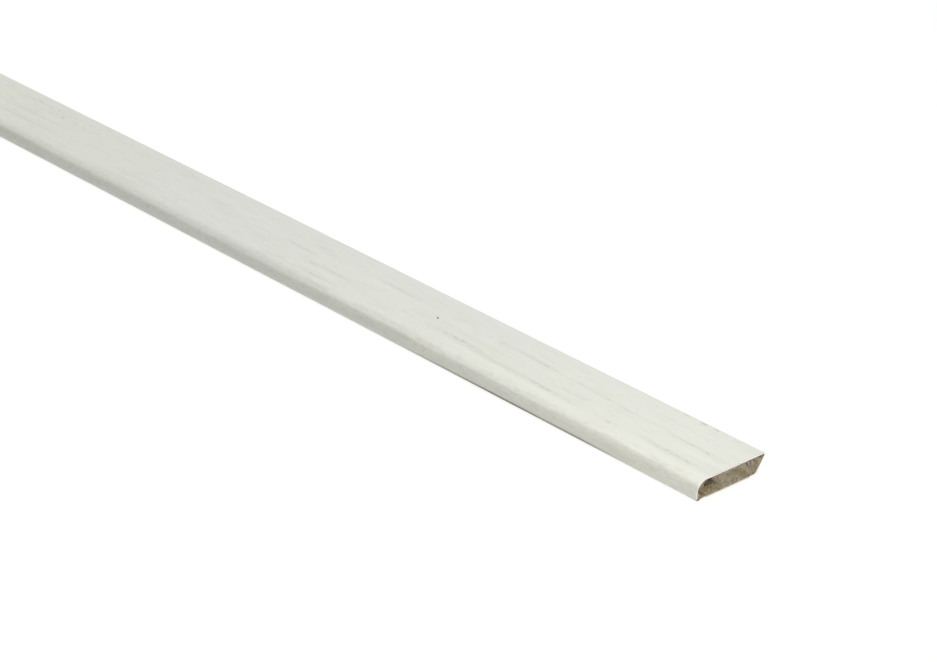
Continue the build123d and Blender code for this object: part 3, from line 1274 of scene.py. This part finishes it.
@dataclass(frozen=True)
class DecorFoil:
    """The printed foil, wrapped round the front, the face, the floor edge and the undercut.

    Attributes:
        shape: The strip's section.
        step: Distance between two stations along the strip.
        seen_step: The same along the length that the photograph shows from nearby.
        column_step: Distance between two columns across the flat face.
        layers: Layers of faces through the foil's thickness, at its cut ends.
        ridge: Depth of the embossed grain.
        swell: Depth of the soft unevenness of the wood under the foil.
        ripple: Depth of the planer's ripples, which show round the shoulder.
        shoulder_band: Middle and half width of the band round the shoulder that has them, measured over
            the surface from the foot of the front.
        front_band: The same of the band round the front that is lumpy and mottled.
        toe_shadow_band: The same of the band along the toe that has painted shadow and dirt.
        flats_depth: Depths of the two faint flats that the planer left, the lower one first. They meet in
            an edge along the shoulder.
        flat_width: Width of each flat.
        flat_wander: How far that edge wanders up and down beyond the length that the photograph shows.
        flat_ragged: How far it does so everywhere, within a few millimetres.
        slope: How far the saw's chipping leaves the printed side of the cut edge behind the glued side.
        ragged: How far the cut edge wanders.
        chip: How far behind the cut edge the print is chipped off.
        drift: How far the printed grain wanders to the side.
        drift_length: Length over which it wanders there and back.
        toe_shadow_strength: How strong the painted shadow and dirt along the whole toe are.
        seen_length: Length of print at the near end that has the photograph's own marks.
        burr: How far the torn foil stands out under the toe of the near end.
        burr_length: How far along the strip that burr reaches.
        burr_width: Half its width round the toe.
    """

    shape: StripSection
    step: float = 12 * MM
    seen_step: float = 3 * MM
    column_step: float = 0.33 * MM
    layers: int = 2
    ridge: float = 0.004 * MM
    swell: float = 0.022 * MM
    ripple: float = 0.03 * MM
    shoulder_band: tuple[float, float] = (4.4 * MM, 2.2 * MM)
    front_band: tuple[float, float] = (3.4 * MM, 3.2 * MM)
    toe_shadow_band: tuple[float, float] = (-0.25 * MM, 0.55 * MM)
    flats_depth: tuple[float, float] = (0.03 * MM, 0.06 * MM)
    flat_width: float = 1.2 * MM
    flat_wander: float = 0.45 * MM
    flat_ragged: float = 0.28 * MM
    slope: float = 0.18 * MM
    ragged: float = 0.05 * MM
    chip: float = 0.3 * MM
    drift: float = 4.5 * MM
    drift_length: float = 0.9
    toe_shadow_strength: float = 0.45
    seen_length: float = 240 * MM
    burr: float = 0.07 * MM
    burr_length: float = 0.9 * MM
    burr_width: float = 0.4 * MM

    def outlines(self) -> Array:
        """Gives the glued line and the printed one, from the return under the toe to the heel.

        The printed line's corners lie one thickness outside the glued line's. At the foot of the floor
        edge that is the thickness times tan(angle / 2) further down, where angle is the undercut's. The
        trim lies where the heel's round starts on the undercut, its radius times tan(turn / 2) before
        the corner, where turn is what the undercut's angle leaves of a right angle.

        Returns:
            The two lines as (line, point, y or z), with a point of each beside every point of the other.
        """
        shape = self.shape
        toe, shoulder, nose, foot, heel = shape.corners().values()
        low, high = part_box("decor_foil")
        thickness = toe[0] - low.y
        lean = math.radians(shape.undercut_angle)
        setback = shape.heel_radius * math.tan((math.pi / 2 - lean) / 2)
        start = low.y + shape.foil_return
        trim = (heel[0] + setback * math.sin(lean), heel[1] + setback * math.cos(lean))
        glued = rounded(
            [(start, toe[1]), toe, shoulder, nose, foot, trim],
            [shape.toe_radius, shape.shoulder_radius, shape.nose_radius, shape.nose_radius],
        )
        printed = rounded(
            [
                (start, low.z),
                (low.y, low.z),
                (low.y, high.z),
                (high.y, high.z),
                (high.y, foot[1] - thickness * math.tan(lean / 2)),
                (trim[0] + thickness * math.cos(lean), trim[1] - thickness * math.sin(lean)),
            ],
            [
                shape.foil_toe_radius,
                shape.shoulder_radius + thickness,
                shape.nose_radius + thickness,
                shape.nose_radius + thickness,
            ],
        )
        return subdivided(np.stack([glued, printed]), self.column_step)

    def normals(self, outline: Array) -> Array:
        """Gives the outward direction at each point: its two spans' mean direction, turned to the left.

        Args:
            outline: The points, one row each.

        Returns:
            The directions, one row each, of length one.
        """
        spans = np.diff(outline, axis=0)
        spans /= np.linalg.norm(spans, axis=1, keepdims=True)
        mean = np.vstack([spans[:1], spans[:-1] + spans[1:], spans[-1:]])
        mean /= np.linalg.norm(mean, axis=1, keepdims=True)
        return np.column_stack([-mean[:, 1], mean[:, 0]])

    def slant(self, back: Array) -> Array:
        """Gives how far the grain has wandered at a distance from the near end: a slow sine."""
        return -self.drift * np.sin(2 * np.pi * back / self.drift_length)

    def scattered_marks(self, paint: Paint, girth: float) -> list[GrainMark]:
        """Scatters marks over the rest of the print, as the seen ones lie at the near end.

        Args:
            paint: What the marks are.
            girth: Length of the section round the foil.

        Returns:
            The marks, the same ones each time.
        """
        chance = np.random.default_rng(list(Paint).index(paint) + 70)
        low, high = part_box("decor_foil")
        count, long, wide = SCATTERED_MARKS[paint]
        back = chance.uniform(self.seen_length, high.x - low.x, count)
        around = chance.uniform(0, girth, count)
        half_length, half_width = chance.uniform(*long, count), chance.uniform(*wide, count)
        strength = chance.uniform(0.2, 0.8, count)
        return [GrainMark(*sizes) for sizes in zip(back, around, half_length, half_width, strength)]

    def above_edge(self, back: Array, around: Array) -> Array:
        """Gives how far above the shoulder's edge each point lies, over the surface.

        The edge runs straight from one known place to the next, and wanders by two lattice noises.

        Args:
            back: Distance of each point from the near end.
            around: Its distance from the foot of the front, over the surface.

        Returns:
            The heights, below zero under the edge.
        """
        beyond_seen = np.clip(back / self.seen_length - 1, 0, 1)
        edge = np.interp(back, EDGE_PLACES, EDGE_HEIGHTS)
        edge += self.flat_wander * beyond_seen * LatticeNoise(8, 34 * MM).at(back)
        edge += self.flat_ragged * LatticeNoise(9, 8 * MM).at(back)
        return around - edge

    def flats(self, above_edge: Array) -> Array:
        """Gives how deep the shoulder's flats lie at each point.

        At q widths from the edge the depth is sin(pi q / 2) of the full one up to q = 1, so that the two
        flats meet in an edge, and falls off beyond as (1 + cos(pi (q - 1) / 2)) / 2, up to q = 3.

        Args:
            above_edge: How far above the shoulder's edge each point lies.

        Returns:
            The depths.
        """
        q = np.abs(above_edge) / self.flat_width
        beyond = (1 + np.cos(np.pi * (np.clip(q, 1, 3) - 1) / 2)) / 2
        depth = np.where(above_edge < 0, *self.flats_depth)
        return depth * np.where(q < 1, np.sin(np.pi * q / 2), beyond)

    def printed_paints(self, back: Array, around: Array, girth: float) -> dict[Paint, Array]:
        """Adds up the marks of the print at each vertex, and the painted shadow and dirt along the toe.

        The print's own marks lie along its slanting grain, and the cool ground and the toe's line along
        the strip.

        Args:
            back: Distance of each vertex from the near end.
            around: Its distance from the foot of the front, over the surface.
            girth: Length of the section round the foil.

        Returns:
            The foil's paints, apart from those of its edge and of its cut ends.
        """
        grain = around + self.slant(back)
        paints = {}
        for paint in SCATTERED_MARKS:
            marks = [*SEEN_MARKS[paint], *self.scattered_marks(paint, girth)]
            paints[paint] = sum(m.share(back, grain - self.slant(m.back)) for m in marks)
        for paint in (Paint.COOL, Paint.SOIL):
            paints[paint] = sum(m.share(back, around) for m in SEEN_MARKS[paint])
        # Painted shadow and dirt along the whole toe, stronger and weaker along the strip
        toe_line_variation = LatticeNoise(61, 24 * MM).at(back)
        paints[Paint.SOIL] += self.toe_shadow_strength * (0.8 + 0.4 * toe_line_variation) * band(around, *self.toe_shadow_band)
        paints[Paint.FRONT] = band(around, *self.front_band)
        return paints

    def build(self, finish: WhitewashedFoil) -> bpy.types.Object:
        """Makes the foil and lets it stand for its CAD node.

        The section's rows go from the glued line to the printed one. The printed surface sinks by two
        noises: ridges, over the place along the strip and across the grain, and swells, over the place
        along the strip and round the section. Round the shoulder it sinks by ripples and flats too. Each
        cut end wavers by a noise round the section, and chips of the print are missing behind it.

        Args:
            finish: The printed foil.

        Returns:
            The foil.
        """
        low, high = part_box("decor_foil")
        glued, printed = self.outlines()
        outward = self.normals(printed)
        share = np.linspace(0, 1, self.layers + 1)[:, None, None]
        section = glued + share * (printed - glued)
        stations = spaced_stations(low.x, high.x, self.step, (self.seen_length, self.seen_step))
        body = CarriedSection(section, stations)
        points = body.points()

        lengths = np.concatenate([[0], np.cumsum(np.linalg.norm(np.diff(printed, axis=0), axis=1))])
        # The foot of the front is the toe's corner before its rounding, one radius below its arc's end
        foot = self.shape.foil_return - self.shape.foil_toe_radius * (2 - math.pi / 2)
        back, around = high.x - points[:, 0], lengths[body.column] - foot
        ridges = LatticeNoise(5, 30 * MM, 0.95 * MM).at(back, around + self.slant(back))
        swells = LatticeNoise(6, 38 * MM, 2.6 * MM).at(back, around)
        ripples = LatticeNoise(7, 17 * MM, 1.1 * MM).at(back, around)
        rippled = self.ripple * band(around, *self.shoulder_band)
        above_edge = self.above_edge(back, around)
        sunk = self.flats(above_edge)
        for depth, noise in ((self.ridge, ridges), (self.swell, swells), (rippled, ripples)):
            sunk += depth * (0.5 + 0.5 * noise)

        # The burr's middle lies under the toe, and it falls off from there as exp(-q^2)
        under_toe = around + self.shape.foil_toe_radius * math.pi / 4
        q_squared = (body.depth(CutEnd.NEAR) / self.burr_length) ** 2 + (under_toe / self.burr_width) ** 2
        lift = self.burr * np.exp(-q_squared) - sunk
        printed_share = body.row / self.layers
        points[:, 1:] += (printed_share * lift)[:, None] * outward[body.column]

        paints = self.printed_paints(back, around, lengths[-1])
        paints[Paint.EDGE] = 0.5 + above_edge / (2 * finish.edge_reach)
        paints[Paint.SAWN] = np.zeros(len(points))
        for end in CutEnd:
            at_end = body.at_end(end)
            torn = 0.5 + 0.5 * LatticeNoise(31 + end.value, 0.7 * MM).at(around)
            lag = self.ragged * torn + self.slope * printed_share * (0.7 + 0.3 * torn)
            points[at_end, 0] -= end.value * lag[at_end]
            # Bare paper fades out behind the edge, over a length that varies as the tear does
            chipped = np.clip(1.15 - body.depth(end) / (self.chip * (0.3 + torn)), 0, 1)
            paints[Paint.SAWN] = np.maximum(paints[Paint.SAWN], np.where(at_end, 1.0, chipped))
        print_map = np.column_stack([points[:, 0], around + self.slant(back)])
        piece = make_piece(
            "printed_foil", body, points, finish.material(), paints, print_map
        )
        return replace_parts(piece, "decor_foil")


@dataclass(frozen=True)
class BackLayer:
    """A flat layer along the back of the strip: the tape, or the liner on it.

    Attributes:
        node: The CAD node that it stands for.
        name: Name of the piece.
        slot: Its material slot. It is not used.
        edge: How far the middle of its two long edges bulges beyond their rims.
        seed: What its small unevenness is drawn from.
        wander: How far its edges wander from a straight line.
        ragged: How far the saw tore its ends.
        step: Distance between two stations along the strip.
        columns: Columns of the end grid, across the layer.
        rows: Rows of the end grid, through the layer.
    """

    node: str
    name: str
    slot: str
    edge: float
    seed: int
    wander: float = 0.06 * MM
    ragged: float = 0.1 * MM
    step: float = 8 * MM
    columns: int = 30
    rows: int = 4

    def section(self) -> Array:
        """Fills the layer's rectangle with a grid.

        At the share t of the layer's thickness, its half width is the box's plus the edge size times
        4t(1 - t) - 1, so it bulges in the middle and stays inside the box.

        Returns:
            The grid as (row, column, y or z).
        """
        low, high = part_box(self.node)
        t = np.linspace(0, 1, self.rows + 1)[:, None]
        s = np.linspace(-1, 1, self.columns + 1)[None, :]
        half = (high.y - low.y) / 2 + self.edge * (4 * t * (1 - t) - 1)
        y = (low.y + high.y) / 2 + s * half
        z = np.broadcast_to(low.z + (high.z - low.z) * t, y.shape)
        return np.stack([y, z], axis=-1)

    def build(self, finish: AcrylicTape | GlazedPaper) -> bpy.types.Object:
        """Makes the layer and lets it stand for its CAD node.

        The long edges wander by a lattice noise along X, the inner columns less by the cube of their
        share of the half width. The ends are torn by another.

        Args:
            finish: The tape or the paper.

        Returns:
            The layer.
        """
        low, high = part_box(self.node)
        body = CarriedSection(self.section(), spaced_stations(low.x, high.x, self.step))
        points = body.points()
        side = (body.column - self.columns / 2) / (self.columns / 2)
        wavy = LatticeNoise(self.seed, 45 * MM).at(points[:, 0], np.sign(side) + 2.0)
        points[:, 1] += self.wander * wavy * np.abs(side) ** 3
        for end in CutEnd:
            at_end = body.at_end(end)
            noise = LatticeNoise(self.seed + 2 + end.value, 0.6 * MM, 0.2 * MM)
            torn = 0.5 + 0.5 * noise.at(points[at_end, 1], points[at_end, 2])
            points[at_end, 0] -= end.value * self.ragged * torn
        piece = make_piece(self.name, body, points, finish.material())
        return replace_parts(piece, self.node)


@dataclass(frozen=True)
class PhotoCamera:
    """The camera that took the photograph, as read from the strip's edges in it.

    Attributes:
        frame_width: Width of the photograph in pixels.
        frame_height: Its height in pixels.
        focal_length: Focal length in pixels.
        azimuth: Where the camera stands round the strip, in degrees from -Y towards +X.
        elevation: Its height above the horizon, in degrees.
        roll: How far its right side is tipped up, in degrees.
        toe_pixel: Where the foot of the near end's front edge shows, from the frame's upper left corner.
        toe_distance: Distance of that foot from the camera, along its line of sight.
        sensor: Width of the sensor in millimetres.
    """

    frame_width: float = 937.0
    frame_height: float = 662.0
    focal_length: float = 2888.0
    azimuth: float = 49.19
    elevation: float = 26.04
    roll: float = -0.15
    toe_pixel: tuple[float, float] = (696.2, 502.0)
    toe_distance: float = 705.8 * MM
    sensor: float = 36.0

    def place(self) -> bpy.types.Object:
        """Makes the camera and puts it where the foot shows at its pixel.

        The ray to the pixel is the line of sight plus, to the side and down, the pixel's offset from the
        frame's middle over the focal length. The camera stands where this ray, times toe_distance, ends
        at the foot.

        Returns:
            The camera.
        """
        a, e, r = (math.radians(v) for v in (self.azimuth, self.elevation, self.roll))
        back = Vector((math.sin(a) * math.cos(e), -math.cos(a) * math.cos(e), math.sin(e)))
        level = Vector((math.cos(a), math.sin(a), 0.0))
        upright = back.cross(level)
        right = math.cos(r) * level + math.sin(r) * upright
        up = back.cross(right)
        low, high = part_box("decor_foil")
        foot = Vector((high.x, low.y, 0.0))
        aside = (self.toe_pixel[0] - self.frame_width / 2) / self.focal_length
        below = (self.toe_pixel[1] - self.frame_height / 2) / self.focal_length
        ray = aside * right - below * up - back

        lens = bpy.data.cameras.new("photo_camera")
        lens.sensor_width = self.sensor
        lens.lens = self.focal_length / self.frame_width * self.sensor
        lens.clip_start = 0.01
        lens.clip_end = 100.0
        camera = bpy.data.objects.new("photo_camera", lens)
        bpy.context.scene.collection.objects.link(camera)
        spot = foot - self.toe_distance * ray
        camera.matrix_world = Matrix.Translation(spot) @ Matrix((right, up, back)).transposed().to_4x4()
        bpy.context.scene.camera = camera
        return camera


@dataclass(frozen=True)
class SoftLight:
    """A soft oblong light, which the camera doesn't see.

    Attributes:
        name: Name of the light.
        place: Where it hangs.
        aim: The point that it faces.
        length: Its size along X.
        width: Its size across.
        brightness: Light that each point of it gives off, where one shows as full white.
        tint: Its colour.
    """

    name: str
    place: tuple[float, float, float]
    aim: tuple[float, float, float]
    length: float
    width: float
    brightness: float
    tint: str = "#ffffff"

    def hang(self) -> bpy.types.Object:
        """Makes the light and turns it to its aim, with its power as pi times brightness times area.

        Returns:
            The light.
        """
        lamp = bpy.data.lights.new(self.name, "AREA")
        lamp.shape = "RECTANGLE"
        lamp.size, lamp.size_y = self.length, self.width
        lamp.energy = math.pi * self.brightness * self.length * self.width
        lamp.color = linear(self.tint)[:3]
        light = bpy.data.objects.new(self.name, lamp)
        light.location = self.place
        light.rotation_euler = (Vector(self.aim) - Vector(self.place)).to_track_quat("-Z", "Y").to_euler()
        light.visible_camera = False
        bpy.context.scene.collection.objects.link(light)
        return light


@dataclass(frozen=True)
class Studio:
    """A pale floor that shows white, a dim surround, and soft lights.

    The floor's own glow keeps the shadows on it faint and lights the strip's front and ends from below.

    Attributes:
        floor_size: Side of the floor.
        floor_colour: Colour of the floor.
        floor_glow: Light that the floor gives by itself.
        surround: Brightness of the surround.
    """

    floor_size: float = 120.0
    floor_colour: str = "#8c8c8a"
    floor_glow: float = 0.77
    surround: float = 0.06

    def build(self) -> None:
        """Lays the floor, sets the surround and hangs the lights."""
        half = self.floor_size / 2
        mesh = bpy.data.meshes.new("pale_floor")
        corners = [(-half, -half, 0.0), (half, -half, 0.0), (half, half, 0.0), (-half, half, 0.0)]
        mesh.from_pydata(corners, [], [(0, 1, 2, 3)])
        material, tree = new_material("pale_floor")
        shader = add_node(
            tree,
            "BsdfPrincipled",
            {
                "Base Color": linear(self.floor_colour),
                "Roughness": 0.9,
                "Specular IOR Level": 0.0,
                "Emission Color": (1.0, 1.0, 1.0, 1.0),
                "Emission Strength": self.floor_glow,
            },
        )
        add_node(tree, "OutputMaterial", {"Surface": shader})
        mesh.materials.append(material)
        floor = bpy.data.objects.new("pale_floor", mesh)
        bpy.context.scene.collection.objects.link(floor)

        world = bpy.data.worlds.new("dim_surround")
        world.use_nodes = True
        world.node_tree.nodes.clear()
        glow = add_node(
            world.node_tree, "Background", {"Color": (1.0, 1.0, 1.0, 1.0), "Strength": self.surround}
        )
        add_node(world.node_tree, "OutputWorld", {"Surface": glow})
        bpy.context.scene.world = world
        bpy.context.scene.view_settings.view_transform = "Standard"
        for light in self.lights():
            light.hang()

    def lights(self) -> list[SoftLight]:
        """Gives the lights: a large one over the whole strip, and three small ones round its near end.

        Returns:
            The lights.
        """
        near_end = (1.2, 0.0, 0.0)
        return [
            SoftLight("overhead_light", (0.0, 0.2, 1.6), (0.0, 0.2, 0.0), 4.5, 1.3, brightness=2.5),
            SoftLight("near_light", (1.25, 0.02, 0.35), near_end, 0.2, 0.2, brightness=1.7),
            SoftLight(
                "front_light", (1.26, -0.17, 0.1), near_end, 0.12, 0.12, brightness=2.1, tint="#fff7f0"
            ),
            SoftLight("end_light", (1.5, 0.03, 0.06), near_end, 0.16, 0.16, brightness=2.0),
        ]


def main() -> None:
    """Builds the camera, the strip's four pieces and the studio."""
    logging.basicConfig(level=logging.INFO, format="%(name)s: %(message)s")
    PhotoCamera().place()
    shape = StripSection()
    WoodenCore(shape).build(SawnSoftwood())
    DecorFoil(shape).build(WhitewashedFoil())
    BackLayer("adhesive_tape", "mounting_tape", "adhesive_tape", 0.05 * MM, seed=41).build(AcrylicTape())
    BackLayer("release_liner", "peel_off_liner", "release_liner", 0.0, seed=51).build(GlazedPaper())
    Studio().build()


if __name__ == "__main__":
    main()
